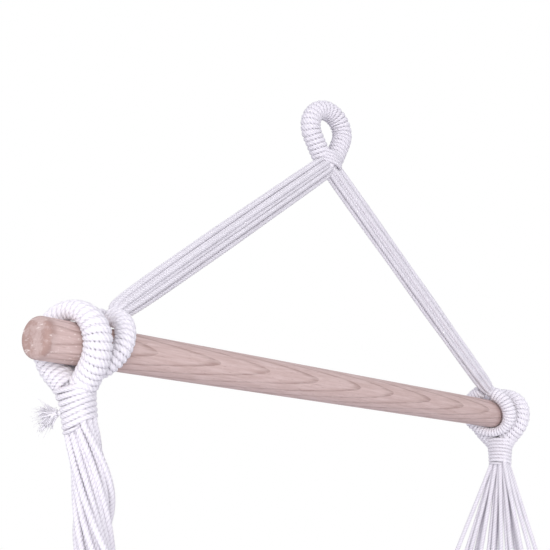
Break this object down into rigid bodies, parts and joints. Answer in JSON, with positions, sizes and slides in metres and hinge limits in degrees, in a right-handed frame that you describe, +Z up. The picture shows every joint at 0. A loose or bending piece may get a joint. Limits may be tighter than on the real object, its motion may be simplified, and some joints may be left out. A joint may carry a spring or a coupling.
{
  "type": "hammock chair",
  "caption": "Hanging hammock chair: a wrapped rope eye, two rope arms and a wooden spreader bar carry a cotton sling seat on fans of cords.",
  "frame": {"origin": "the top of the rope eye's opening, where a hook carries the chair", "axes": "+Z up, X along the spreader bar, and someone who sits in the chair faces -Y"},
  "size_m": [0.952, 0.9198, 1.6751],
  "materials": {
    "cotton_cord": "white twisted cotton cord",
    "cotton_wrap": "white twisted cotton cord, wound tight",
    "seat_cotton": "white woven cotton cloth",
    "beech_wood": "plain sanded beech"
  },
  "bodies": {
    "suspension": {"left_arm_cord_1": "cotton_cord", "left_arm_cord_2": "cotton_cord", "left_arm_cord_3": "cotton_cord", "left_arm_cord_4": "cotton_cord", "left_arm_cord_5": "cotton_cord", "left_arm_cord_6": "cotton_cord", "left_arm_cord_7": "cotton_cord", "left_arm_cord_8": "cotton_cord", "left_ring_core": "cotton_cord", "left_ring_wrap": "cotton_wrap", "right_arm_cord_1": "cotton_cord", "right_arm_cord_2": "cotton_cord", "right_arm_cord_3": "cotton_cord", "right_arm_cord_4": "cotton_cord", "right_arm_cord_5": "cotton_cord", "right_arm_cord_6": "cotton_cord", "right_arm_cord_7": "cotton_cord", "right_arm_cord_8": "cotton_cord", "right_ring_core": "cotton_cord", "right_ring_wrap": "cotton_wrap"},
    "sling": {"left_edge_rope": "cotton_cord", "left_harness_cord_01": "cotton_cord", "left_harness_cord_02": "cotton_cord", "left_harness_cord_03": "cotton_cord", "left_harness_cord_04": "cotton_cord", "left_harness_cord_05": "cotton_cord", "left_harness_cord_06": "cotton_cord", "left_harness_cord_07": "cotton_cord", "left_harness_cord_08": "cotton_cord", "left_harness_cord_09": "cotton_cord", "left_harness_cord_10": "cotton_cord", "left_harness_cord_11": "cotton_cord", "left_harness_cord_12": "cotton_cord", "left_loop_core": "cotton_cord", "left_loop_neck_wrap": "cotton_wrap", "left_loop_tail": "cotton_cord", "left_loop_wrap": "cotton_wrap", "right_edge_rope": "cotton_cord", "right_harness_cord_01": "cotton_cord", "right_harness_cord_02": "cotton_cord", "right_harness_cord_03": "cotton_cord", "right_harness_cord_04": "cotton_cord", "right_harness_cord_05": "cotton_cord", "right_harness_cord_06": "cotton_cord", "right_harness_cord_07": "cotton_cord", "right_harness_cord_08": "cotton_cord", "right_harness_cord_09": "cotton_cord", "right_harness_cord_10": "cotton_cord", "right_harness_cord_11": "cotton_cord", "right_harness_cord_12": "cotton_cord", "right_loop_core": "cotton_cord", "right_loop_neck_wrap": "cotton_wrap", "right_loop_wrap": "cotton_wrap", "seat_cloth": "seat_cotton"},
    "bar": {"spreader_bar": "beech_wood"},
    "top_eye": {"top_eye_core": "cotton_cord", "top_eye_wrap": "cotton_wrap"},
    "neck": {"top_neck_bundle": "cotton_cord", "top_neck_wrap": "cotton_wrap"}
  },
  "joints": [
    {"name": "neck_twist", "type": "hinge", "parent": "top_eye", "child": "neck", "pos_m": [0, 0, -0.06139], "axis": [0, 0, 1], "range_deg": [-90, 90], "stiffness_Nm_per_rad": 0.3},
    {"name": "swing", "type": "hinge", "parent": "neck", "child": "suspension", "pos_m": [0, 0, -0.06139], "axis": [1, 0, 0], "range_deg": [-25, 25]},
    {"name": "bar_roll", "type": "hinge", "parent": "suspension", "child": "bar", "pos_m": [0, 0, -0.35139], "axis": [1, 0, 0], "continuous": true},
    {"name": "sling_swing", "type": "hinge", "parent": "suspension", "child": "sling", "pos_m": [0, 0, -0.35139], "axis": [1, 0, 0], "range_deg": [-35, 35]}
  ]
}
